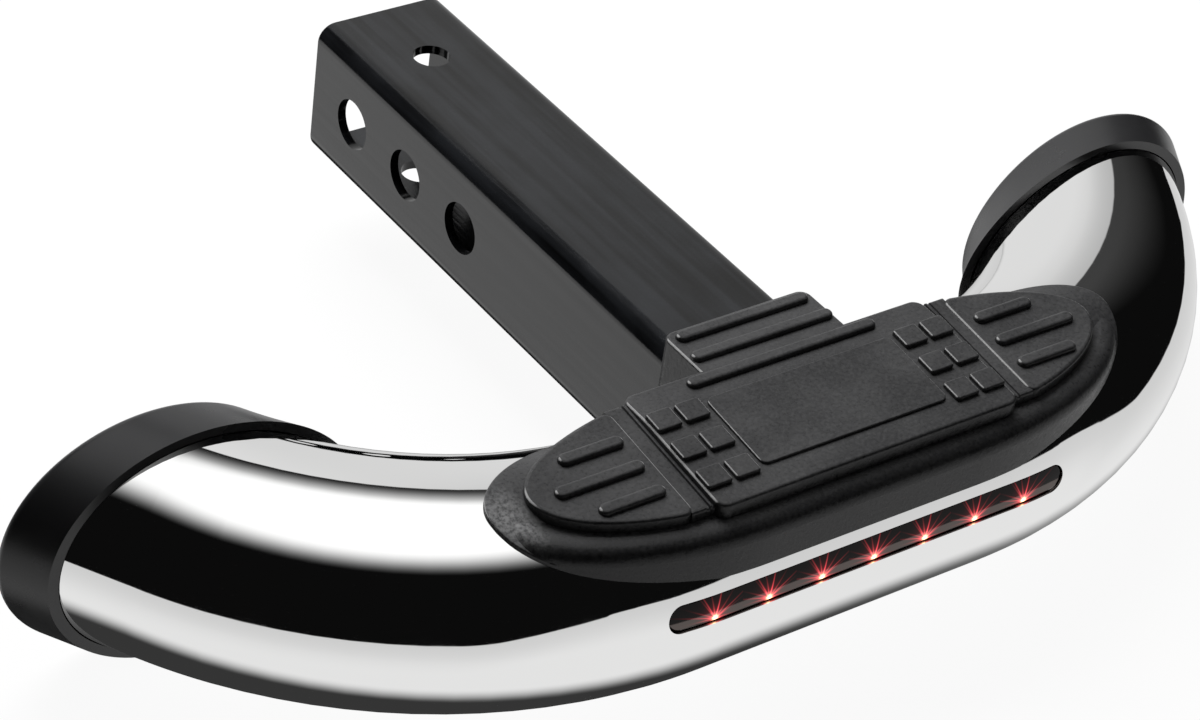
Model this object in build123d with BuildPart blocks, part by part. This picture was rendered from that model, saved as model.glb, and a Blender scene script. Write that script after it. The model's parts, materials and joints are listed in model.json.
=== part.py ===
"""Hitch receiver step: a bent tube bar on a square shank, with a tread pad, end caps and a strip lamp.

Frame: the origin is on the rear cross-pin hole, in the middle of the shank. +X runs along the bar,
+Y points along the shank to the vehicle, and +Z is up. Millimetres.
"""

import os
from math import cos, radians, sin, sqrt, tan

from build123d import *

# Shank: a square tube that slides into a receiver and is held by a cross pin
shank_size = 50.8
shank_wall = 3.2
shank_corner = 6.35
pin_hole_diameter = 18.2
pin_hole_pitch = 34.0
pin_hole_count = 3
pin_to_end = 25.0
upright_hole_diameter = 13.2
upright_hole_y = -7.0

# Bar: a round tube, bent back at both ends and cut off square to the shank
tube_diameter = 76.2
tube_wall = 2.0
bar_y = -222.5
crest_rise = 2.2
straight_half = 55.0
bend_radius = 143.0
bend_angle = 58.0
tail_length = 10.5

# Weld round the shank's coped end
weld_leg = 4.0
weld_round = 2.5
weld_gap = 0.4

# End caps: slipped over the cut ends
cap_fit = 0.25
cap_wall = 3.0
cap_skirt = 11.0
cap_end = 5.4
cap_round = 2.2
cap_spigot = 9.0
cap_spigot_wall = 2.0

# Tread pad: an oval saddle over the bar, with a tab over the shank
pad_fit = 0.25
pad_skin = 1.0
pad_straight_half = 40.0
pad_reach = 79.2
pad_front = 35.5
pad_rear = 24.5
skirt_drop = 21.6
skin_round = 0.6
base_drop = 4.0
base_round = 6.5
tread_tilt = 6.0
end_tread_height = 2.5
end_tread_reach = 67.0
end_tread_front = 26.3
end_tread_rear = 23.4
end_tread_shift = -2.0
end_tread_from = 64.3
end_tread_corner = 3.0
tread_height = 4.7
tread_half_length = 57.5
tread_front = 29.0
tread_rear = 23.0
tread_bend = 9.5
tread_bend_round = 80.0
tread_corner = 4.0
tread_round = 1.2
tab_reach = 43.3
tab_lap = 8.0
tab_cheek = 2.2
tab_drop = 11.5
tab_corner = 4.0
panel_length = 71.2
panel_width = 30.5
panel_offset = -4.7
panel_corner = 2.6
panel_height = 0.9
panel_round = 0.5

# Tread relief: rounded ribs and square blocks
rib_height = 1.7
rib_width = 4.6
rib_round = 1.2
tab_rib_lengths = (50.5, 54.0, 72.0)
tab_rib_offset = 38.8
tab_rib_pitch = 10.2
end_rib_lengths = (22.8, 31.3, 23.2)
end_rib_from = 68.0
end_rib_offset = 6.9
end_rib_pitch = 11.0
relief_root = 0.6
block_length = 8.8
block_width = 8.0
block_height = 1.5
block_corner = 1.0
block_round = 0.7
block_column = 47.3
block_column_pitch = 10.4
block_row = -5.0
block_row_pitch = 12.85

# Moulded pegs that hold the pad in holes along the bar's crest
peg_diameter = 8.0
peg_hole_gap = 0.3
peg_spread = (30.0, 84.0)
peg_barb = 1.4
peg_barb_length = 6.0
peg_play = 0.7

# Strip lamp behind a slot in the bar's front
slot_length = 153.0
slot_height = 9.5
slot_rise = 7.5
lens_gap = 0.3
lens_recess = 0.6
lens_round = 0.8
lens_wall = 1.0
flange_margin = 3.3
flange_thickness = 2.0
flange_play = 0.8
gasket_gap = 0.05
housing_depth = 12.0
housing_wall = 1.5
pillar_diameter = 5.0
pillar_end = 26.5
inner_play = 0.2
reflector_thickness = 0.8
board_thickness = 1.6
led_count = 7
led_end = 16.5
led_drop = 1.0
led_diameter = 5.0
led_flange_diameter = 5.8
led_flange = 0.7
led_gap = 0.2
resistor_count = 3
resistor_length = 6.3
resistor_width = 3.2
resistor_height = 0.9
resistor_pitch = 26.0
resistor_gap = 6.35

# Rubber pass-throughs for the lamp's lead
gland_bore = 3.6
gland_neck = 6.4
gland_flange = 9.2
gland_lip = 1.6
grommet_bore = 6.0
grommet_neck = 12.0
grommet_flange = 17.0
grommet_lip = 2.0
grommet_gap = 1.6
pass_fit = 0.1

# Worked-out places
shank_half = shank_size / 2
shank_inside = shank_size - 2 * shank_wall
tube_radius = tube_diameter / 2
tube_inner = tube_radius - tube_wall
crest = shank_half + crest_rise
bar_z = crest - tube_radius
bend_y = bar_y + bend_radius
end_dir = Vector(cos(radians(bend_angle)), sin(radians(bend_angle)), 0)
end_x = straight_half + bend_radius * sin(radians(bend_angle)) + tail_length * end_dir.X
end_y = bend_y - bend_radius * cos(radians(bend_angle)) + tail_length * end_dir.Y
tail_margin = tube_diameter
cope_top = bar_y + sqrt(tube_radius**2 - (shank_half - bar_z) ** 2)
tab_half = shank_half + pad_fit + tab_cheek
cap_radius = tube_radius + cap_fit + cap_wall
tread_top = crest + tread_height
tread_fall = tan(radians(tread_tilt))
tread_up = (0, -sin(radians(tread_tilt)), cos(radians(tread_tilt)))
tread_plane = Plane((0, bar_y, tread_top - tread_bend * tread_fall), x_dir=(1, 0, 0), z_dir=tread_up)
tread_axis = Axis(tread_plane.origin, tread_up)
end_tread_plane = Plane((0, bar_y, crest + end_tread_height), x_dir=(1, 0, 0), z_dir=tread_up)
base_plane = end_tread_plane.offset(-base_drop)
skirt_low = crest - skirt_drop
slot_z = bar_z + slot_rise
led_z = slot_z - led_drop
slot_face = bar_y - sqrt(tube_radius**2 - slot_rise**2)
lens_front = slot_face + lens_recess
flange_length = slot_length + 2 * flange_margin
flange_height = slot_height + 2 * flange_margin
bend_overrun = max(flange_length / 2 - straight_half, 0)
bend_outside = bend_radius + tube_inner
bend_fall = bend_outside - sqrt(bend_outside**2 - bend_overrun**2)
flange_corner = sqrt(tube_inner**2 - (slot_rise + flange_height / 2) ** 2)
flange_front = bar_y - flange_corner + bend_fall + flange_play
lens_back = flange_front + flange_thickness
board_front = lens_back + reflector_thickness
board_back = board_front + board_thickness
housing_back = lens_back + housing_depth
housing_floor = housing_back - housing_wall
led_height = board_front - lens_front - lens_wall - led_gap
led_row = slot_length - 2 * led_end
led_places = [(led_row * (n / (led_count - 1) - 1 / 2), led_z) for n in range(led_count)]
tray_length = flange_length - 2 * housing_wall
tray_height = flange_height - 2 * housing_wall
pillar_places = [(side * (slot_length / 2 - pillar_end), slot_z) for side in (-1, 1)]
resistor_first = pillar_places[0][0] + pillar_diameter / 2 + resistor_gap + resistor_length / 2
resistor_places = [(resistor_first + n * resistor_pitch, slot_z) for n in range(resistor_count)]
grommet_z = grommet_flange / 2 + grommet_gap - shank_inside / 2
grommet_edge = abs(grommet_z - bar_z) + grommet_flange / 2
grommet_wall = tube_radius - sqrt(tube_inner**2 - grommet_edge**2)

os.makedirs("parts", exist_ok=True)


def crest_y(x):
    """Where the bar's centre line runs at a distance x from its middle."""
    past = max(x - straight_half, 0)
    return bend_y - sqrt(bend_radius**2 - past**2)


peg_places = [(side * x, crest_y(x)) for x in peg_spread for side in (-1, 1)]


def save(builder, name):
    """Label a finished piece and write its STEP file."""
    builder.part.label = name
    export_step(builder.part, f"parts/{name}.step")


def front_plane(y):
    """Upright plane at y that faces the step's front: sketch axes X and Z, extruding towards -Y."""
    return Plane.XZ.offset(-y)


def bar_rod(radius, reach):
    """A solid rod along the bar's centre line, cut off square to the shank at y = reach."""
    with BuildPart() as rod:
        with BuildSketch(Plane.YZ):
            with Locations((bar_y, bar_z)):
                Circle(radius)
        extrude(amount=straight_half)
        with BuildSketch(Plane.YZ.offset(straight_half)):
            with Locations((bar_y, bar_z)):
                Circle(radius)
        revolve(axis=Axis((straight_half, bend_y, 0), (0, 0, 1)), revolution_arc=bend_angle)
        bend_end = Vector(end_x, end_y, bar_z) - end_dir * tail_length
        with BuildSketch(Plane(origin=bend_end, x_dir=(0, 0, 1), z_dir=end_dir)):
            Circle(radius)
        extrude(amount=tail_length + tail_margin)
        split(bisect_by=Plane.XZ.offset(-reach), keep=Keep.TOP)
        mirror(about=Plane.YZ)
    return rod.part


def shank_block(grow, front):
    """The shank's outside as a filled bar, grown on all sides, from its rear end to y = front."""
    with BuildPart() as block:
        with BuildSketch(front_plane(pin_to_end)):
            RectangleRounded(shank_size + 2 * grow, shank_size + 2 * grow, shank_corner + grow)
        extrude(amount=pin_to_end - front)
    return block.part


def pad_oval(reach, front, rear, middle):
    """Straight-sided oval into the open sketch: it reaches front and rear of y = middle by unlike amounts."""
    with BuildLine() as outline:
        right, left = (pad_straight_half, middle), (-pad_straight_half, middle)
        rear_right = EllipticalCenterArc(right, reach, rear, start_angle=0, arc_size=90)
        rear_left = EllipticalCenterArc(left, reach, rear, start_angle=90, arc_size=90)
        front_left = EllipticalCenterArc(left, reach, front, start_angle=180, arc_size=90)
        front_right = EllipticalCenterArc(right, reach, front, start_angle=270, arc_size=90)
        Line(rear_right @ 1, rear_left @ 0)
        Line(front_left @ 1, front_right @ 0)
    make_face(outline.edges())


def bent_faces(builder):
    """The faces that follow the bar: tube-sized cylinders in its straight, tori in its bends."""
    tubes = builder.faces().filter_by(GeomType.CYLINDER).filter_by(lambda face: face.radius > tube_radius / 2)
    return tubes + builder.faces().filter_by(GeomType.TORUS)


def outer_rim(faces):
    """The edges round a patch of faces, without those that two of the faces share."""
    edges = [edge for face in faces for edge in face.edges()]
    return [edge for edge in edges if sum(edge.is_same(other) for other in edges) == 1]


def half_rod(radius, reach, front):
    """The right-hand end of the bar's rod, between y = front and y = reach."""
    with BuildPart() as end:
        add(bar_rod(radius, reach))
        split(bisect_by=front_plane(front), keep=Keep.BOTTOM)
        split(bisect_by=Plane.YZ, keep=Keep.TOP)
    return end.part


def weld_block(leg):
    """All that lies within one weld leg of both the shank's sides and the bar's surface."""
    with BuildPart() as block:
        add(shank_block(leg, cope_top - leg))
        with Locations((0, bar_y, bar_z)):
            Cylinder(tube_radius + leg, 2 * shank_size, rotation=(0, 90, 0), mode=Mode.INTERSECT)
    return block.part


def ribs(places, base):
    """Round-ended ribs along X, as (centre, length) pairs, standing on the plane base."""
    with BuildPart() as relief:
        with BuildSketch(base.offset(-relief_root)):
            for centre, length in places:
                with Locations(centre):
                    SlotOverall(length, rib_width)
        extrude(amount=relief_root + rib_height)
        fillet(relief.edges().group_by(Axis(base.origin, base.z_dir))[-1], rib_round)
    return relief.part


def slot_prism(length, height, back, front):
    """A round-ended bar in line with the lamp's slot, from y = back forward to y = front."""
    with BuildPart() as prism:
        with BuildSketch(front_plane(back)):
            with Locations((0, slot_z)):
                SlotOverall(length, height)
        extrude(amount=back - front)
    return prism.part


def pass_through(name, centre, wall, bore, neck, flange, lip):
    """A round rubber pass-through along Y: a neck through the wall, a lip on each side, and a bore."""
    x, y, z = centre
    length = wall + 2 * lip
    with BuildPart() as rubber:
        for start, reach, diameter in (
            (y + length / 2, length, neck),
            (y + length / 2, lip, flange),
            (y - wall / 2, lip, flange),
        ):
            with BuildSketch(front_plane(start)):
                with Locations((x, z)):
                    Circle(diameter / 2)
            extrude(amount=reach)
        with BuildSketch(front_plane(y + length / 2)):
            with Locations((x, z)):
                Circle(bore / 2)
        extrude(amount=length, mode=Mode.SUBTRACT)
    save(rubber, name)


# Shank tube, coped to the bar
with BuildPart() as shank_tube:
    add(shank_block(0, bar_y))
    with BuildSketch(front_plane(pin_to_end)):
        RectangleRounded(shank_inside, shank_inside, shank_corner - shank_wall)
    extrude(amount=pin_to_end - bar_y, mode=Mode.SUBTRACT)
    with BuildSketch(Plane.YZ):
        with Locations(*[(-n * pin_hole_pitch, 0) for n in range(pin_hole_count)]):
            Circle(pin_hole_diameter / 2)
    extrude(amount=shank_size, both=True, mode=Mode.SUBTRACT)
    with BuildSketch(Plane.XY):
        with Locations((0, upright_hole_y)):
            Circle(upright_hole_diameter / 2)
    extrude(amount=shank_size, both=True, mode=Mode.SUBTRACT)
    with Locations((0, bar_y, bar_z)):
        Cylinder(tube_radius, 2 * shank_size, rotation=(0, 90, 0), mode=Mode.SUBTRACT)
save(shank_tube, "shank_tube")

# Bar, with the lamp's slot, the pad's peg holes and the lead's hole into the shank
with BuildPart() as step_bar:
    add(bar_rod(tube_radius, end_y))
    add(bar_rod(tube_inner, end_y + tail_length), mode=Mode.SUBTRACT)
    add(slot_prism(slot_length, slot_height, bar_y, bar_y - tube_diameter), mode=Mode.SUBTRACT)
    with BuildSketch(Plane.XY.offset(bar_z)):
        with Locations(*peg_places):
            Circle(peg_diameter / 2 + peg_hole_gap)
    extrude(amount=tube_diameter, mode=Mode.SUBTRACT)
    with BuildSketch(front_plane(bar_y)):
        with Locations((0, grommet_z)):
            Circle(grommet_neck / 2 + pass_fit)
    extrude(amount=-tube_diameter, mode=Mode.SUBTRACT)
save(step_bar, "step_bar")

# Weld bead round the cope
with BuildPart() as weld_bead:
    add(weld_block(weld_leg))
    round_faces = weld_bead.faces().filter_by(GeomType.CYLINDER)
    outer_face = round_faces.sort_by(lambda face: face.radius)[-1]
    fillet(outer_face.edges(), weld_round)
    add(bar_rod(tube_radius, end_y), mode=Mode.SUBTRACT)
    add(shank_block(0, bar_y), mode=Mode.SUBTRACT)
save(weld_bead, "weld_bead")

# End caps, with a skirt outside the tube and a spigot inside it
with BuildPart() as spigot:
    add(half_rod(tube_inner - cap_fit, end_y, end_y - cap_spigot))
    add(half_rod(tube_inner - cap_fit - cap_spigot_wall, end_y, bar_y), mode=Mode.SUBTRACT)

with BuildPart() as end_cap_right:
    add(half_rod(cap_radius, end_y + cap_end, end_y - cap_skirt))
    fillet(end_cap_right.edges().group_by(Axis.Y)[-1], cap_round)
    add(half_rod(tube_radius + cap_fit, end_y, bar_y), mode=Mode.SUBTRACT)
    add(spigot.part)
save(end_cap_right, "end_cap_right")

with BuildPart() as end_cap_left:
    mirror(end_cap_right.part, about=Plane.YZ)
save(end_cap_left, "end_cap_left")

# Tread pad: base, skin, treads and relief are shaped apart, then joined and cut to the bar and the shank
with BuildPart() as pad_base:
    with BuildSketch(Plane.XY.offset(skirt_low)):
        pad_oval(pad_reach, pad_front, pad_rear, bar_y)
    extrude(amount=tube_diameter)
    split(bisect_by=base_plane, keep=Keep.BOTTOM)
    fillet(pad_base.faces().filter_by(base_plane).edges(), base_round)

with BuildPart() as skin:
    add(bar_rod(tube_radius + pad_fit + pad_skin, end_y))
    with BuildSketch(Plane.XY.offset(skirt_low)):
        pad_oval(pad_reach, pad_front, pad_rear, bar_y)
    extrude(amount=tube_diameter, mode=Mode.INTERSECT)
    fillet(outer_rim(bent_faces(skin)), skin_round)

with BuildPart() as end_treads:
    with BuildSketch(Plane.XY.offset(bar_z)):
        pad_oval(end_tread_reach, end_tread_front, end_tread_rear, bar_y + end_tread_shift)
        with Locations((0, bar_y)):
            Rectangle(2 * end_tread_from, 2 * tube_diameter, mode=Mode.SUBTRACT)
    extrude(amount=tube_diameter)
    split(bisect_by=end_tread_plane, keep=Keep.BOTTOM)
    inner_walls = end_treads.faces().filter_by(Axis.X)
    fillet(inner_walls.edges().filter_by(Axis.Z), end_tread_corner)
    fillet(end_treads.faces().filter_by(end_tread_plane).edges(), tread_round)

with BuildPart() as main_tread:
    with BuildSketch(Plane.YZ) as tread_profile:
        with BuildLine():
            Polyline(
                (bar_y - tread_front, bar_z),
                (bar_y - tread_front, tread_top - (tread_front + tread_bend) * tread_fall),
                (bar_y + tread_bend, tread_top),
                (bar_y + tread_rear, tread_top),
                (bar_y + tread_rear, bar_z),
                close=True,
            )
        make_face()
        fillet(tread_profile.vertices().group_by(Axis.Y)[-1].sort_by(Axis.X)[0], tread_bend_round)
    extrude(amount=tread_half_length, both=True)
    fillet(main_tread.edges().filter_by(Axis.Z), tread_corner)
    with BuildSketch(Plane.XY.offset(shank_half - tab_drop)) as tab_outline:
        with Locations((0, bar_y + tread_rear - tab_lap)):
            Rectangle(2 * tab_half, tab_reach - tread_rear + tab_lap, align=(Align.CENTER, Align.MIN))
        fillet(tab_outline.vertices().group_by(Axis.Y)[-1], tab_corner)
    extrude(amount=tread_top - shank_half + tab_drop)
    tread_tops = main_tread.faces().filter_by(lambda face: face.normal_at().Z > cos(radians(2 * tread_tilt)))
    fillet(outer_rim(tread_tops), tread_round)

with BuildPart() as panel:
    with BuildSketch(tread_plane.offset(-relief_root)):
        with Locations((0, panel_offset)):
            RectangleRounded(panel_length, panel_width, panel_corner)
    extrude(amount=relief_root + panel_height)
    fillet(panel.edges().group_by(tread_axis)[-1], panel_round)

with BuildPart() as blocks:
    with BuildSketch(tread_plane.offset(-relief_root)):
        for side in (-1, 1):
            with Locations((side * block_column, block_row)):
                with GridLocations(block_column_pitch, block_row_pitch, 2, 3):
                    RectangleRounded(block_length, block_width, block_corner)
    extrude(amount=relief_root + block_height)
    fillet(blocks.edges().group_by(tread_axis)[-1], block_round)

tab_rib_places = [
    ((0, bar_y + tab_rib_offset - n * tab_rib_pitch), length) for n, length in enumerate(tab_rib_lengths)
]
end_rib_places = [
    ((side * (end_rib_from + length / 2), end_rib_offset - n * end_rib_pitch), length)
    for n, length in enumerate(end_rib_lengths)
    for side in (-1, 1)
]

with BuildPart() as step_pad:
    add(pad_base.part)
    add(skin.part)
    add(end_treads.part)
    add(main_tread.part)
    add(panel.part)
    add(blocks.part)
    add(ribs(tab_rib_places, Plane.XY.offset(tread_top)))
    add(ribs(end_rib_places, end_tread_plane))
    add(bar_rod(tube_radius + pad_fit, end_y), mode=Mode.SUBTRACT)
    add(shank_block(pad_fit, bar_y), mode=Mode.SUBTRACT)
    add(weld_block(weld_leg + weld_gap), mode=Mode.SUBTRACT)
    with BuildSketch(Plane.XY.offset(crest + pad_fit + pad_skin / 2)):
        with Locations(*peg_places):
            Circle(peg_diameter / 2)
    extrude(amount=-(pad_fit + pad_skin / 2 + tube_wall + peg_play + peg_barb_length / 2))
    with Locations(*[(x, y, crest - tube_wall - peg_play) for x, y in peg_places]):
        Cone(
            peg_diameter / 4,
            peg_diameter / 2 + peg_barb,
            peg_barb_length,
            align=(Align.CENTER, Align.CENTER, Align.MAX),
        )
save(step_pad, "step_pad")

# Lamp lens: it fills the slot nearly flush, with a flange inside the tube and a pocket for each lamp
with BuildPart() as light_lens:
    add(slot_prism(slot_length - 2 * lens_gap, slot_height - 2 * lens_gap, lens_back, bar_y - tube_diameter))
    add(bar_rod(tube_radius - lens_recess, end_y), mode=Mode.INTERSECT)
    fillet(outer_rim(bent_faces(light_lens)), lens_round)
    add(slot_prism(flange_length, flange_height, lens_back, flange_front))
    with BuildSketch(front_plane(lens_back)):
        with Locations(*led_places):
            Circle(led_diameter / 2 + led_gap)
    extrude(amount=lens_back - lens_front - lens_wall - led_diameter / 2 - led_gap, mode=Mode.SUBTRACT)
    with Locations(*[(x, lens_front + lens_wall + led_diameter / 2 + led_gap, z) for x, z in led_places]):
        Sphere(led_diameter / 2 + led_gap, mode=Mode.SUBTRACT)
save(light_lens, "light_lens")

# Seal between the lens flange and the inside of the tube
with BuildPart() as light_gasket:
    add(slot_prism(flange_length, flange_height, flange_front, bar_y - tube_radius))
    add(slot_prism(slot_length, slot_height, flange_front, bar_y - tube_diameter), mode=Mode.SUBTRACT)
    add(bar_rod(tube_inner - gasket_gap, end_y), mode=Mode.INTERSECT)
save(light_gasket, "light_gasket")

# Tray behind the lens, with pillars under the board and a hole for the gland
with BuildPart() as light_housing:
    add(slot_prism(flange_length, flange_height, housing_back, lens_back))
    add(slot_prism(tray_length, tray_height, housing_floor, flange_front), mode=Mode.SUBTRACT)
    with BuildSketch(front_plane(housing_floor)):
        with Locations(*pillar_places):
            Circle(pillar_diameter / 2)
    extrude(amount=housing_floor - board_back)
    with BuildSketch(front_plane(housing_back)):
        with Locations((0, slot_z)):
            Circle(gland_neck / 2 + pass_fit)
    extrude(amount=housing_wall, mode=Mode.SUBTRACT)
save(light_housing, "light_housing")

# Board, reflector and resistors in the tray
strip_length = tray_length - 2 * inner_play
strip_height = tray_height - 2 * inner_play
with BuildPart() as light_board:
    add(slot_prism(strip_length, strip_height, board_back, board_front))
save(light_board, "light_board")

with BuildPart() as light_reflector:
    add(slot_prism(strip_length, strip_height, board_front, lens_back))
    with BuildSketch(front_plane(board_front)):
        with Locations(*led_places):
            Circle(led_flange_diameter / 2 + led_gap)
    extrude(amount=reflector_thickness, mode=Mode.SUBTRACT)
save(light_reflector, "light_reflector")

with BuildPart() as board_resistors:
    with BuildSketch(front_plane(board_back + resistor_height)):
        with Locations(*resistor_places):
            Rectangle(resistor_length, resistor_width)
    extrude(amount=resistor_height)
save(board_resistors, "board_resistors")

# Lamps: domed, with a rim at the foot
led_steps = ((led_flange_diameter, led_flange), (led_diameter, led_height - led_diameter / 2))
for number, (x, z) in enumerate(led_places, start=1):
    with BuildPart() as led:
        for diameter, height in led_steps:
            with BuildSketch(front_plane(board_front)):
                with Locations((x, z)):
                    Circle(diameter / 2)
            extrude(amount=height)
        with Locations((x, board_front - led_height + led_diameter / 2, z)):
            Sphere(led_diameter / 2)
    save(led, f"led_{number}")

# Rubber pass-throughs for the lead: out of the tray, and out of the bar into the shank
gland_place = (0, housing_back - housing_wall / 2, slot_z)
pass_through("housing_gland", gland_place, housing_wall, gland_bore, gland_neck, gland_flange, gland_lip)
grommet_place = (0, bar_y + tube_radius - grommet_wall / 2, grommet_z)
pass_through(
    "wire_grommet", grommet_place, grommet_wall, grommet_bore, grommet_neck, grommet_flange, grommet_lip
)
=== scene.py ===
"""Looks for the hitch receiver step: a finish for every piece, a plain studio and the photograph's camera.

Everything is in metres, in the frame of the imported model: +X along the bar, +Y along the shank to the
vehicle and +Z up, with the origin on the rear cross-pin hole.
"""

import json
from functools import reduce
from math import cos, pi, radians, sin, sqrt, tan

import bpy
from mathutils import Matrix, Vector


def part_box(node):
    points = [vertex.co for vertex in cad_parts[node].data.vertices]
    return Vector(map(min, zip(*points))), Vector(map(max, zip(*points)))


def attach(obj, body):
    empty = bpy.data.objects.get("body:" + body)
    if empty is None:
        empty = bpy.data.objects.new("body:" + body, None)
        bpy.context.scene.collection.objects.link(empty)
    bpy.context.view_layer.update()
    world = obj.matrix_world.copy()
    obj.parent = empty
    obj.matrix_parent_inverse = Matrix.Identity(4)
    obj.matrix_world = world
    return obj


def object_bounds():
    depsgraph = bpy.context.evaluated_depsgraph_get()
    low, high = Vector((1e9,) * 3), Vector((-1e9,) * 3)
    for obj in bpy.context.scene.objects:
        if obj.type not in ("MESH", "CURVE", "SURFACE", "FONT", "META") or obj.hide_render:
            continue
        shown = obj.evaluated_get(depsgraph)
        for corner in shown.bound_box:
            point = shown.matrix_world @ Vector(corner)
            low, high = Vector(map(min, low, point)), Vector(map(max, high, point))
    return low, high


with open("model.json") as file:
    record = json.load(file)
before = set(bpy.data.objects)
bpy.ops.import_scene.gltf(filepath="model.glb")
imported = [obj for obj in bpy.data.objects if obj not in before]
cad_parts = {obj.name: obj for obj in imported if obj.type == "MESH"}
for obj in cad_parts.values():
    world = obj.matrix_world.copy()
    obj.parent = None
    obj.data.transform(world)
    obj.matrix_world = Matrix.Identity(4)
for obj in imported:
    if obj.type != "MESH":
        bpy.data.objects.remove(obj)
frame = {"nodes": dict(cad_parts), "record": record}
nodes = frame["nodes"]
cad_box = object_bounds()

# Camera: a pinhole fitted to the photograph
camera_azimuth = -40.0
camera_elevation = 36.52
camera_roll = -8.47
camera_eye = (-0.5843, -0.8155, 0.6450)
camera_lens = 102.75
camera_sensor = 36.0

# Studio that shiny pieces mirror, as directions from the step in degrees, with brightness from 0 to 1
# A fade gives the direction where a part of the studio starts and the one where it is full
# Azimuths of the floor and its shadow run from the step's front to its right
# All other azimuths run from straight behind the step to its right
sky_fade = (46.0, 68.0)
sky_curve = 1.4
sky_level = 1.1
wall_left_fade = (-18.0, -10.0)
wall_right_fade = (55.0, 53.5)
wall_top_fade = (48.0, 47.0)
wall_bottom_fade = (-15.0, -9.0)
wall_shade_fade = (55.0, 28.0)
wall_shade = 0.481
wall_level = 0.74
floor_edge = -14.5
floor_edge_rise = 16.0
floor_rise_left = (-18.0, 12.0)
floor_rise_right = (74.0, 50.0)
floor_rise_least = 0.22
floor_edge_fade = (0.0, 0.8)
floor_depth = (0.0, 32.0)
floor_edge_level = 0.64
floor_deep_level = 0.80
shadow_direction = (172.0, -66.0)
shadow_spread = (28.0, 50.0)
shadow_level = 0.045
patch_left_fade = (-80.0, -60.0)
patch_right_fade = (-10.0, -25.0)
patch_top_fade = (-14.0, -18.0)
patch_bottom_fade = (-62.0, -52.0)
patch_level = 1.08
dim_left_fade = (20.0, 50.0)
dim_right_fade = (95.0, 60.0)
dim_rise = (-5.0, 40.0)
dim_level = 0.05
dark_level = 0.0035

# Light that falls on the step, and the floor that the camera sees
ambient_level = 0.03
key_size = 1.0
key_place = (0.12, 0.70, 1.10)
key_aim = (0.0, -0.18, 0.0)
key_power = 35.0
floor_half = 6.0
floor_gap = 0.0006
floor_white = 0.86
floor_shadow = 0.06
white = (1.0, 1.0, 1.0, 1.0)

# Shank and bar, as the model has them
shank_half = 0.0254
shank_corner = 0.00635
shank_inside = 0.0222
tube_radius = 0.0381
bar_y = -0.2225
bar_z = -0.0105

# Ranges of soft noise that several finishes spread over their own range of colour or roughness
wide_range = (0.3, 0.7)
middle_range = (0.35, 0.65)

# Polished steel
steel_colour = (0.955, 0.955, 0.95, 1.0)
steel_line_size = 0.0012
steel_line_stretch = (0.04, 1.0, 1.0)
steel_line_range = (0.35, 0.75)
steel_line_rough = (0.02, 0.045)
steel_haze_size = 0.03
steel_haze_range = (0.45, 0.7)
steel_haze_rough = (0.0, 0.02)
steel_wave_size = 0.05
steel_wave_depth = 0.00002

# Powder coat
coat_dark = (0.002, 0.002, 0.002, 1.0)
coat_light = (0.014, 0.015, 0.017, 1.0)
coat_peel_size = 0.0011
coat_peel_depth = 0.00004
coat_streak_size = 0.004
coat_streak_stretch = (1.0, 0.03, 1.0)
coat_streak_share = (0.0, 0.6)
coat_streak_depth = 0.00012
coat_cloud_size = 0.018
coat_cloud_stretch = (1.0, 0.5, 1.0)
coat_cloud_share = (0.0, 0.4)
coat_rough = (0.12, 0.20)
coat_specular = 0.4

# Moulded rubber
rubber_dark = (0.034, 0.034, 0.035, 1.0)
rubber_dusty = (0.066, 0.066, 0.067, 1.0)
# Light grey of the painted sheen on the pad's left tip
rubber_tip_sheen = (0.26, 0.26, 0.262, 1.0)
# Light grey of the painted glints on the pad's rounded edges
rubber_edge_glint = (0.42, 0.42, 0.42, 1.0)
rubber_grain_size = 0.0012
rubber_grain_range = (0.4, 0.7)
rubber_grain_depth = 0.0003
rubber_patch_size = 0.02
rubber_patch_range = (0.35, 0.7)
rubber_dust_share = (0.0, 0.5)
rubber_rough = (0.26, 0.40)
rubber_specular = 0.3

# Painted sheen on the pad's left tip, broken up by the grain: where it starts and where it is full, and its
# least and most
tip_sheen_x = (-0.1055, -0.1135)
tip_sheen_y = (-0.2100, -0.2270)
tip_sheen_z = (0.0195, 0.0240)
tip_sheen_share = (0.2, 0.9)

# Painted glints on the pad's rounded edges: their lean from upright in degrees, and the cosines where a
# glint starts and is full
glint_lean = 45.0
glint_near = (0.93, 0.985)

# Cap plastic
cap_colour = (0.022, 0.022, 0.023, 1.0)
cap_flow_size = 0.03
cap_flow_stretch = (0.5, 1.0, 1.0)
cap_grain_size = 0.0006
cap_grain_depth = 0.00003
cap_rough = (0.24, 0.36)

# Hidden pieces
plain_grain_size = 0.0008
plain_grain_depth = 0.00003
plain_rough_spread = 0.05
led_colour = (0.55, 0.02, 0.02, 1.0)
led_rough = 0.15
led_glow_colour = (1.0, 0.08, 0.06, 1.0)
led_glow_level = 1.5

# Lens, with a lit star for each lamp: rays are a count, a turn, a width and a length
led_count = 7
led_pitch = 0.020
lens_half_height = 0.00445
lens_dark = (0.010, 0.002, 0.002, 1.0)
lens_rough = 0.12
lens_specular = 0.15
star_drop = 0.0034
star_margin = 0.0009
star_short_rays = (7.0, 0.4, 0.00020, 0.0019)
star_long_rays = (4.0, 1.1, 0.00020, 0.0028)
star_colour = (1.0, 0.08, 0.10, 1.0)
star_level = 2.4
glow_reach = 0.0013
glow_level = 0.9
core_radius = 0.0010
core_colour = (1.0, 0.80, 0.36, 1.0)
core_level = 1.2
dull_colour = (0.115, 0.098, 0.092, 1.0)
dull_top = 0.0027
dull_fade = 0.0007

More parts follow.
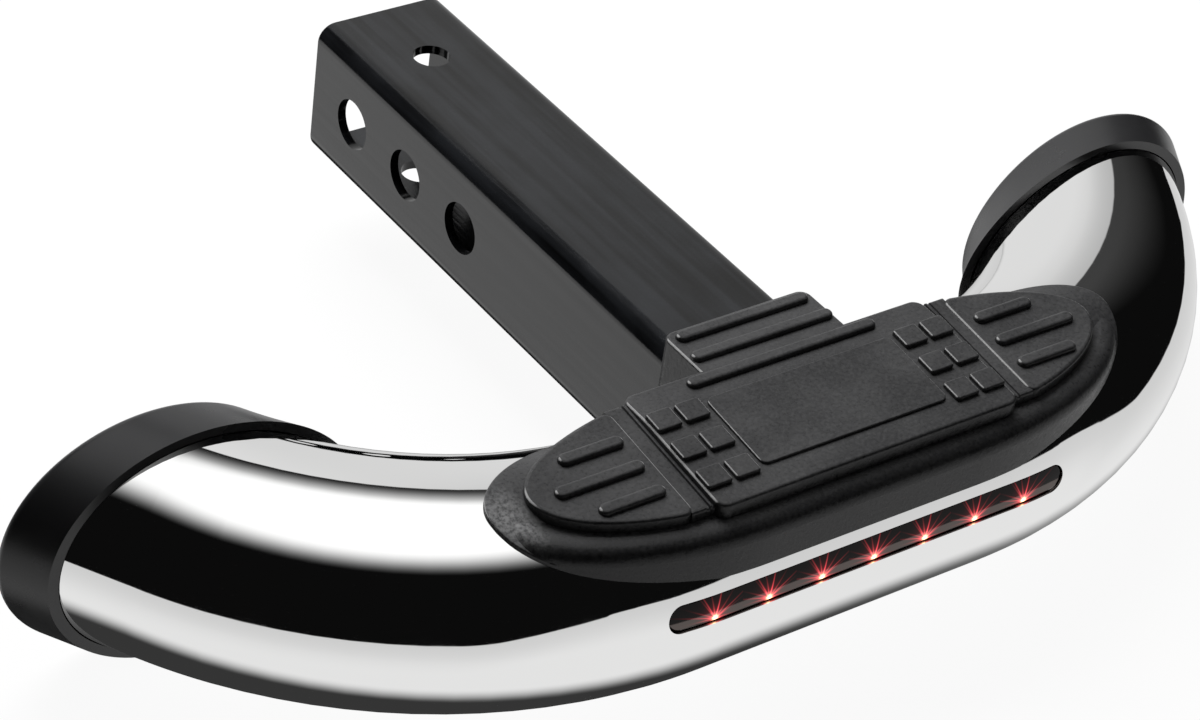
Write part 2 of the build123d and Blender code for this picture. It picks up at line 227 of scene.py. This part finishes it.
# Low strips between the pad's middle tread and its end treads: distance from the middle and rise
strip_profile = (
    (0.0571, -0.0004),
    (0.0581, -0.0004),
    (0.0583, 0.0002),
    (0.0589, 0.0002),
    (0.0591, -0.0005),
    (0.0600, -0.0005),
    (0.0602, 0.0),
    (0.0655, 0.0),
)
strip_level = 0.0296
strip_tilt = 6.0
strip_front = 0.0260
strip_rear = 0.0205
strip_depth = 0.0055
strip_round = 0.0010
strip_round_shares = (0.0, 0.15, 0.5)
strip_steps = 12

# Weld ripples: their radii run along the weld, across it and out of it
ripple_pitch = 0.0021
ripple_offset = 0.0017
ripple_radii = (0.0018, 0.0029, 0.0022)
ripple_top = 0.012
ripple_rings = 6
ripple_sides = 12

# Seam inside the shank's tube
seam_x = 0.006
seam_half_width = 0.0014
seam_height = 0.0004
seam_from = -0.181
seam_to = 0.0245
seam_sides = 8


class NodeTree:
    """Short calls for building one shader tree."""

    def __init__(self, tree):
        self.tree = tree
        tree.nodes.clear()

    def add(self, kind, inputs=None, **settings):
        """A new node with its settings and inputs."""
        node = self.tree.nodes.new(kind)
        for name, value in settings.items():
            setattr(node, name, value)
        for name, value in (inputs or {}).items():
            self.set(node.inputs[name], value)
        return node

    def set(self, socket, value):
        """Links a socket to the value or, if that is a constant, stores it there."""
        if isinstance(value, bpy.types.NodeSocket):
            self.tree.links.new(value, socket)
        else:
            socket.default_value = value

    def math(self, operation, *values):
        node = self.add("ShaderNodeMath", operation=operation)
        for socket, value in zip(node.inputs, values):
            self.set(socket, value)
        return node.outputs[0]

    def product(self, *values):
        return reduce(lambda one, two: self.math("MULTIPLY", one, two), values)

    def total(self, *values):
        return reduce(lambda one, two: self.math("ADD", one, two), values)

    def most(self, *values):
        return reduce(lambda one, two: self.math("MAXIMUM", one, two), values)

    def bell(self, value):
        """Falls from 1 with the square of the value."""
        return self.math("EXPONENT", self.product(value, value, -1.0))

    def decay(self, value, reach):
        """Falls from 1, to about a third at the reach."""
        return self.math("EXPONENT", self.math("DIVIDE", value, -reach))

    def degrees(self, angle):
        return self.product(angle, 180.0 / pi)

    def ramp(self, value, low, high, start=0.0, end=1.0):
        """The value's place between low and high, clamped and eased, as a number from start to end."""
        node = self.add("ShaderNodeMapRange", interpolation_type="SMOOTHSTEP")
        for name, number in (
            ("Value", value),
            ("From Min", low),
            ("From Max", high),
            ("To Min", start),
            ("To Max", end),
        ):
            self.set(node.inputs[name], number)
        return node.outputs[0]

    def mix(self, factor, one, two):
        """Two colours mixed by a factor."""
        node = self.add("ShaderNodeMix", data_type="RGBA")
        self.set(node.inputs[0], factor)
        self.set(node.inputs[6], one)
        self.set(node.inputs[7], two)
        return node.outputs[2]

    def blend(self, factor, one, two):
        """Two numbers mixed by a factor."""
        node = self.add("ShaderNodeMix", data_type="FLOAT")
        self.set(node.inputs[0], factor)
        self.set(node.inputs[2], one)
        self.set(node.inputs[3], two)
        return node.outputs[0]

    def axes(self, vector):
        """The X, Y and Z of a vector."""
        parts = self.add("ShaderNodeSeparateXYZ", {"Vector": vector})
        return [parts.outputs[name] for name in "XYZ"]

    def place(self, scale=(1.0, 1.0, 1.0)):
        """Places on the piece in the model's own frame, stretched by a scale."""
        where = self.add("ShaderNodeTexCoord").outputs["Object"]
        mapping = self.add("ShaderNodeMapping", {"Vector": where, "Scale": scale})
        return mapping.outputs[0]

    def noise(self, size, where, detail=2.0, roughness=0.5):
        """Soft random grey with features of about the given size in metres."""
        inputs = {"Vector": where, "Scale": 1.0 / size, "Detail": detail, "Roughness": roughness}
        return self.add("ShaderNodeTexNoise", inputs).outputs["Fac"]

    def bump(self, height, distance, strength=1.0, normal=None):
        """A normal tilted by a height, on top of another bump's normal if there is one."""
        inputs = {"Height": height, "Distance": distance, "Strength": strength}
        if normal is not None:
            inputs["Normal"] = normal
        return self.add("ShaderNodeBump", inputs).outputs[0]


def material(name, build):
    """A new material whose surface comes from build(tree), which returns a shader socket."""
    made = bpy.data.materials.new(name)
    made.use_nodes = True
    tree = NodeTree(made.node_tree)
    surface = build(tree)
    tree.add("ShaderNodeOutputMaterial", {"Surface": surface})
    return made


def principled(tree, **inputs):
    """A Principled shader, with inputs named by words joined with underscores."""
    named = {words.replace("_", " "): value for words, value in inputs.items()}
    return tree.add("ShaderNodeBsdfPrincipled", named).outputs[0]


# Finishes


def polished_steel(tree):
    """Mirror-polished stainless tube with faint polishing lines along X."""
    lines = tree.noise(steel_line_size, tree.place(steel_line_stretch), detail=3.0)
    haze = tree.noise(steel_haze_size, tree.place(), detail=3.0)
    waves = tree.noise(steel_wave_size, tree.place(), detail=1.0)
    return principled(
        tree,
        Base_Color=steel_colour,
        Metallic=1.0,
        Roughness=tree.total(
            tree.ramp(lines, *steel_line_range, *steel_line_rough),
            tree.ramp(haze, *steel_haze_range, *steel_haze_rough),
        ),
        Normal=tree.bump(waves, steel_wave_depth),
    )


def powder_coat(tree):
    """Satin black powder coat with orange peel and faint streaks along the shank."""
    peel = tree.noise(coat_peel_size, tree.place(), detail=2.0)
    streaks = tree.noise(coat_streak_size, tree.place(coat_streak_stretch), detail=3.0)
    clouds = tree.noise(coat_cloud_size, tree.place(coat_cloud_stretch), detail=4.0, roughness=0.6)
    shade = tree.total(
        tree.ramp(streaks, *middle_range, *coat_streak_share),
        tree.ramp(clouds, *middle_range, *coat_cloud_share),
    )
    lines = tree.bump(streaks, coat_streak_depth)
    return principled(
        tree,
        Base_Color=tree.mix(shade, coat_dark, coat_light),
        Roughness=tree.ramp(clouds, *wide_range, *coat_rough),
        Specular_IOR_Level=coat_specular,
        Normal=tree.bump(peel, coat_peel_depth, strength=0.5, normal=lines),
    )


def painted_tip_sheen(tree, grain):
    """How much painted sheen shows: only on the pad's left tip, broken up by the grain."""
    x, y, z = tree.axes(tree.place())
    return tree.product(
        tree.ramp(x, *tip_sheen_x),
        tree.ramp(y, *tip_sheen_y),
        tree.ramp(z, *tip_sheen_z),
        tree.ramp(grain, *middle_range, *tip_sheen_share),
    )


def painted_edge_glints(tree):
    """How much painted glint shows: only on rounded edges that lean to the left or the right."""
    x, _, z = tree.axes(tree.add("ShaderNodeNewGeometry").outputs["Normal"])
    sideways = tree.product(tree.math("ABSOLUTE", x), sin(radians(glint_lean)))
    upwards = tree.product(z, cos(radians(glint_lean)))
    return tree.ramp(tree.total(sideways, upwards), *glint_near)


def moulded_rubber(tree):
    """Black moulded tread: fine pebble grain with uneven dust, a painted sheen on the left tip and painted
    glints on rounded edges.
    """
    grain = tree.noise(rubber_grain_size, tree.place(), detail=3.0, roughness=0.6)
    patches = tree.noise(rubber_patch_size, tree.place(), detail=4.0)
    dust = tree.total(
        tree.ramp(patches, *rubber_patch_range, *rubber_dust_share),
        tree.ramp(grain, *rubber_grain_range, *rubber_dust_share),
    )
    colour = tree.mix(dust, rubber_dark, rubber_dusty)
    # Painted sheen on the pad's left tip
    colour = tree.mix(painted_tip_sheen(tree, grain), colour, rubber_tip_sheen)
    # Painted glints on the pad's rounded edges
    colour = tree.mix(painted_edge_glints(tree), colour, rubber_edge_glint)
    return principled(
        tree,
        Base_Color=colour,
        Roughness=tree.ramp(grain, *wide_range, *rubber_rough),
        Specular_IOR_Level=rubber_specular,
        Normal=tree.bump(grain, rubber_grain_depth, strength=0.3),
    )


def cap_plastic(tree):
    """Black moulded cap with a soft sheen and slight flow marks."""
    flow = tree.noise(cap_flow_size, tree.place(cap_flow_stretch), detail=4.0)
    grain = tree.noise(cap_grain_size, tree.place(), detail=2.0)
    return principled(
        tree,
        Base_Color=cap_colour,
        Roughness=tree.ramp(flow, *wide_range, *cap_rough),
        Normal=tree.bump(grain, cap_grain_depth, strength=0.4),
    )


def star_rays(tree, reach, angle, count, turn, width, length):
    """Thin rays of constant width round a lamp, which fade out along their length."""
    wave = tree.math("SINE", tree.total(tree.product(angle, count), turn))
    off = tree.product(tree.math("ABSOLUTE", wave), reach)
    thin = tree.bell(tree.math("DIVIDE", off, count * width))
    return tree.product(thin, tree.decay(reach, length))


def lit_lens(tree):
    """Dark red lens with a lit star at each lamp's place and a dull strip showing through its lower half."""
    x, _, z = tree.axes(tree.place())
    low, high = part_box("light_lens")
    middle = (low.z + high.z) / 2
    low_rim = middle - lens_half_height
    last = (led_count - 1) / 2
    nearest = tree.math("ROUND", tree.math("DIVIDE", x, led_pitch))
    nearest = tree.most(tree.math("MINIMUM", nearest, last), -last)
    across = tree.math("SUBTRACT", x, tree.product(nearest, led_pitch))
    up = tree.math("SUBTRACT", z, middle - star_drop)
    reach = tree.math("SQRT", tree.total(tree.product(across, across), tree.product(up, up)))
    angle = tree.math("ARCTAN2", up, across)

    core = tree.bell(tree.math("DIVIDE", reach, core_radius))
    glow = tree.decay(reach, glow_reach)
    star = tree.total(
        star_rays(tree, reach, angle, *star_short_rays),
        star_rays(tree, reach, angle, *star_long_rays),
    )
    lit = tree.total(
        tree.product(star, star_level),
        tree.product(glow, glow_level),
        tree.product(core, core_level),
    )
    dull = tree.ramp(up, dull_top, dull_top - dull_fade)
    return principled(
        tree,
        Base_Color=tree.mix(dull, lens_dark, dull_colour),
        Metallic=dull,
        Roughness=lens_rough,
        Specular_IOR_Level=lens_specular,
        Emission_Color=tree.mix(core, star_colour, core_colour),
        Emission_Strength=tree.product(lit, tree.ramp(z, low_rim, low_rim + star_margin)),
    )


def plain(colour, roughness):
    """A moulded finish of one colour with a fine grain."""
    rough = (roughness - plain_rough_spread, roughness + plain_rough_spread)

    def build(tree):
        grain = tree.noise(plain_grain_size, tree.place(), detail=2.0)
        return principled(
            tree,
            Base_Color=(*colour, 1.0),
            Roughness=tree.ramp(grain, *wide_range, *rough),
            Normal=tree.bump(grain, plain_grain_depth, strength=0.5),
        )

    return build


def led_red(tree):
    """Clear red epoxy, lit from inside."""
    return principled(
        tree,
        Base_Color=led_colour,
        Roughness=led_rough,
        Emission_Color=led_glow_colour,
        Emission_Strength=led_glow_level,
    )


finishes = {
    "powder_coat": material("powder_coat", powder_coat),
    "polished_steel": material("polished_steel", polished_steel),
    "cap_plastic": material("cap_plastic", cap_plastic),
    "pad_rubber": material("pad_rubber", moulded_rubber),
    "lens_plastic": material("lens_plastic", lit_lens),
    "seal_rubber": material("seal_rubber", plain((0.018, 0.018, 0.018), 0.6)),
    "housing_plastic": material("housing_plastic", plain((0.025, 0.025, 0.025), 0.5)),
    "board_laminate": material("board_laminate", plain((0.02, 0.09, 0.04), 0.45)),
    "reflector_plastic": material("reflector_plastic", plain((0.55, 0.55, 0.56), 0.25)),
    "resistor_ceramic": material("resistor_ceramic", plain((0.04, 0.04, 0.04), 0.5)),
    "led_red": material("led_red", led_red),
}

for subpart in frame["record"]["subparts"]:
    piece = nodes[subpart["node"]]
    piece.data.materials.clear()
    piece.data.materials.append(finishes[subpart["material_slot"]])

# Small pieces that the solids leave out


def add_piece(name, vertices, faces, finish, smooth=True):
    """A mesh that rides on the model."""
    mesh = bpy.data.meshes.new(name)
    mesh.from_pydata(vertices, [], faces)
    if smooth:
        mesh.shade_smooth()
    mesh.materials.append(finish)
    piece = bpy.data.objects.new(name, mesh)
    bpy.context.scene.collection.objects.link(piece)
    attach(piece, "root")


def shank_outline(grow, step):
    """Places round the shank's rounded-square section in X and Z, with the outward direction at each."""
    flat = shank_half - shank_corner
    radius = shank_corner + grow
    side = 2 * flat + radius * pi / 2
    count = round(4 * side / step)
    places = []
    for n in range(count):
        quarter, along = divmod(n * 4 * side / count, side)
        if along < 2 * flat:
            out = Vector((1.0, 0.0))
            spot = Vector((flat + radius, along - flat))
        else:
            angle = (along - 2 * flat) / radius
            out = Vector((cos(angle), sin(angle)))
            spot = Vector((flat, flat)) + radius * out
        turn = Matrix.Rotation(quarter * pi / 2, 2)
        places.append((turn @ spot, turn @ out))
    return places


def weld_ripples():
    """Overlapping weld drops along the joint of shank and bar, where the pad leaves it bare."""
    vertices, faces = [], []
    for spot, out in shank_outline(ripple_offset, ripple_pitch):
        x, z = spot
        if z > ripple_top:
            continue
        reach = tube_radius + ripple_offset
        tube_out = Vector((0.0, (reach**2 - (z - bar_z) ** 2) ** 0.5, z - bar_z)).normalized()
        centre = Vector((x, bar_y + reach * tube_out.y, z))
        shank_out = Vector((out.x, 0.0, out.y))
        up = (shank_out + tube_out).normalized()
        along = shank_out.cross(tube_out).normalized()
        across = up.cross(along)
        radii = [axis * size for axis, size in zip((along, across, up), ripple_radii)]
        first = len(vertices)
        for ring in range(ripple_rings + 1):
            tilt = pi * ring / ripple_rings
            for side in range(ripple_sides):
                turn = 2 * pi * side / ripple_sides
                on_ball = (sin(tilt) * cos(turn), sin(tilt) * sin(turn), cos(tilt))
                offset = sum((radius * share for radius, share in zip(radii, on_ball)), Vector())
                vertices.append(centre + offset)
        for ring in range(ripple_rings):
            for side in range(ripple_sides):
                a = first + ring * ripple_sides + side
                b = first + ring * ripple_sides + (side + 1) % ripple_sides
                faces.append((a, a + ripple_sides, b + ripple_sides, b))
    add_piece("weld_ripples", vertices, faces, finishes["powder_coat"])


def tube_seam():
    """The low welded seam along the inside of the shank's tube."""
    vertices, faces = [], []
    for y in (seam_from, seam_to):
        for n in range(seam_sides + 1):
            angle = pi * n / seam_sides
            x = seam_x + seam_half_width * cos(angle)
            vertices.append((x, y, seam_height * sin(angle) - shank_inside))
    for n in range(seam_sides):
        faces.append((n, n + 1, n + seam_sides + 2, n + seam_sides + 1))
    faces.append(tuple(range(seam_sides + 1, 2 * seam_sides + 2)))
    add_piece("shank_seam", vertices, faces, finishes["powder_coat"])


def tread_strips():
    """The low flat strips beside the middle tread, each with a thin ridge, sunk into the pad."""
    length = strip_front + strip_rear
    straight = length - 2 * strip_round
    ends = [strip_round * share for share in strip_round_shares]
    middle = [strip_round + n * straight / strip_steps for n in range(strip_steps + 1)]
    runs = [*ends, *middle, *(length - run for run in reversed(ends))]
    columns = len(strip_profile)
    under = columns * len(runs)
    vertices, faces = [], []
    for side in (-1, 1):
        first = len(vertices)
        for sink in (0.0, strip_depth):
            for run in runs:
                y = bar_y - strip_front + run
                inward = max(strip_round - min(run, length - run), 0.0)
                rounding = strip_round - sqrt(strip_round**2 - inward**2)
                level = strip_level + (y - bar_y) * tan(radians(strip_tilt)) - rounding - sink
                vertices.extend((side * x, y, level + rise) for x, rise in strip_profile)
        made = []
        for row in range(len(runs) - 1):
            for column in range(columns - 1):
                a = first + row * columns + column
                quad = (a, a + 1, a + columns + 1, a + columns)
                made.append(quad)
                made.append(tuple(corner + under for corner in reversed(quad)))
        last_row = len(runs) - 1
        rim = [first + column for column in range(columns)]
        rim += [first + row * columns + columns - 1 for row in range(1, last_row + 1)]
        rim += [first + last_row * columns + column for column in reversed(range(columns - 1))]
        rim += [first + row * columns for row in reversed(range(1, last_row))]
        for a, b in zip(rim, rim[1:] + rim[:1]):
            made.append((b, a, a + under, b + under))
        faces += made if side > 0 else [tuple(reversed(face)) for face in made]
    add_piece("tread_strips", vertices, faces, finishes["pad_rubber"], smooth=False)


weld_ripples()
tube_seam()
tread_strips()

# Studio


def direction(azimuth, elevation):
    """Unit vector towards an azimuth and elevation: azimuth 0 is the step's front, 90 its right."""
    a, e = radians(azimuth), radians(elevation)
    return Vector((sin(a) * cos(e), -cos(a) * cos(e), sin(e)))


def sky_light(tree, elevation):
    """A bright soft top."""
    return tree.product(tree.math("POWER", tree.ramp(elevation, *sky_fade), sky_curve), sky_level)


def wall_light(tree, elevation, behind):
    """A pale wall behind, a little darker to the right."""
    return tree.product(
        tree.ramp(behind, *wall_left_fade),
        tree.ramp(behind, *wall_right_fade),
        tree.ramp(elevation, *wall_top_fade),
        tree.ramp(elevation, *wall_bottom_fade),
        tree.ramp(behind, *wall_shade_fade, wall_shade, wall_level),
    )


def floor_light(tree, towards, elevation, azimuth):
    """A pale floor whose far edge rises at the front right, with the step's own shadow on it."""
    rise = tree.product(
        tree.ramp(azimuth, *floor_rise_left),
        tree.ramp(azimuth, *floor_rise_right, floor_rise_least, 1.0),
    )
    edge = tree.total(tree.product(rise, floor_edge_rise), floor_edge)
    below = tree.math("SUBTRACT", edge, elevation)
    towards_shadow = tree.add("ShaderNodeVectorMath", operation="DOT_PRODUCT")
    tree.set(towards_shadow.inputs[0], towards)
    tree.set(towards_shadow.inputs[1], direction(*shadow_direction))
    off_shadow = tree.degrees(tree.math("ARCCOSINE", towards_shadow.outputs["Value"]))
    return tree.product(
        tree.ramp(below, *floor_edge_fade),
        tree.ramp(below, *floor_depth, floor_edge_level, floor_deep_level),
        tree.ramp(off_shadow, *shadow_spread, shadow_level, 1.0),
    )


def patch_light(tree, elevation, behind):
    """A brighter patch of floor at the left rear."""
    return tree.product(
        tree.ramp(behind, *patch_right_fade),
        tree.ramp(behind, *patch_left_fade),
        tree.ramp(elevation, *patch_bottom_fade),
        tree.ramp(elevation, *patch_top_fade),
        patch_level,
    )


def dim_light(tree, elevation, behind):
    """A faint light at the right rear, stronger higher up."""
    return tree.product(
        tree.ramp(behind, *dim_left_fade),
        tree.ramp(behind, *dim_right_fade),
        tree.ramp(elevation, *dim_rise, 0.0, dim_level),
    )


def studio_world():
    """White to the camera, the studio to what shines and one even level to what scatters light."""
    world = bpy.data.worlds.new("studio")
    world.use_nodes = True
    bpy.context.scene.world = world
    tree = NodeTree(world.node_tree)
    towards = tree.add("ShaderNodeTexCoord").outputs["Generated"]
    x, y, z = tree.axes(towards)
    elevation = tree.degrees(tree.math("ARCSINE", z))
    azimuth = tree.degrees(tree.math("ARCTAN2", x, tree.product(y, -1.0)))
    behind = tree.degrees(tree.math("ARCTAN2", x, y))
    studio = tree.most(
        sky_light(tree, elevation),
        wall_light(tree, elevation, behind),
        floor_light(tree, towards, elevation, azimuth),
        patch_light(tree, elevation, behind),
        dim_light(tree, elevation, behind),
        dark_level,
    )
    rays = tree.add("ShaderNodeLightPath")
    shine = tree.most(rays.outputs["Is Glossy Ray"], rays.outputs["Is Transmission Ray"])
    level = tree.blend(shine, ambient_level, studio)
    level = tree.blend(rays.outputs["Is Camera Ray"], level, 1.0)
    background = tree.add("ShaderNodeBackground", {"Color": white, "Strength": level})
    tree.add("ShaderNodeOutputWorld", {"Surface": background.outputs[0]})
    world.cycles.sampling_method = "NONE"


def key_softbox():
    """A large soft lamp above and behind, which neither the camera nor what shines sees."""
    lamp = bpy.data.lights.new("key_softbox", "AREA")
    lamp.shape = "SQUARE"
    lamp.size = key_size
    lamp.energy = key_power
    box = bpy.data.objects.new("key_softbox", lamp)
    box.location = key_place
    box.rotation_euler = (Vector(key_place) - Vector(key_aim)).to_track_quat("Z", "Y").to_euler()
    box.visible_camera = False
    box.visible_glossy = False
    bpy.context.scene.collection.objects.link(box)


def floor_paint(tree):
    """Pale paint that looks almost white to the camera, with a faint shadow."""
    paint = tree.add("ShaderNodeBsdfDiffuse", {"Color": (floor_white, floor_white, floor_white, 1.0)})
    glow = tree.add("ShaderNodeEmission", {"Color": white, "Strength": 1.0})
    camera_ray = tree.add("ShaderNodeLightPath").outputs["Is Camera Ray"]
    seen = tree.product(camera_ray, 1.0 - floor_shadow)
    mixed = tree.add("ShaderNodeMixShader", {0: seen, 1: paint.outputs[0], 2: glow.outputs[0]})
    return mixed.outputs[0]


def pale_floor():
    """Plain floor just under the step, which lights nothing and isn't mirrored."""
    level = cad_box[0].z - floor_gap
    corners = [(-1, -1), (1, -1), (1, 1), (-1, 1)]
    mesh = bpy.data.meshes.new("floor")
    mesh.from_pydata([(a * floor_half, b * floor_half, level) for a, b in corners], [], [(0, 1, 2, 3)])
    mesh.materials.append(material("floor_white", floor_paint))
    floor = bpy.data.objects.new("floor", mesh)
    bpy.context.scene.collection.objects.link(floor)
    floor.visible_glossy = False
    floor.visible_diffuse = False


def photo_camera():
    """The photograph's camera, with its roll."""
    back = direction(camera_azimuth, camera_elevation)
    right = (-back).cross(Vector((0.0, 0.0, 1.0))).normalized()
    down = (-back).cross(right)
    turn = radians(camera_roll)
    image_right = cos(turn) * right + sin(turn) * down
    image_down = cos(turn) * down - sin(turn) * right
    data = bpy.data.cameras.new("photo_camera")
    data.sensor_width = camera_sensor
    data.lens = camera_lens
    camera = bpy.data.objects.new("photo_camera", data)
    turned = Matrix((image_right, -image_down, back)).transposed().to_4x4()
    camera.matrix_world = Matrix.Translation(camera_eye) @ turned
    bpy.context.scene.collection.objects.link(camera)
    bpy.context.scene.camera = camera


studio_world()
key_softbox()
pale_floor()
photo_camera()
bpy.context.scene.view_settings.view_transform = "Standard"
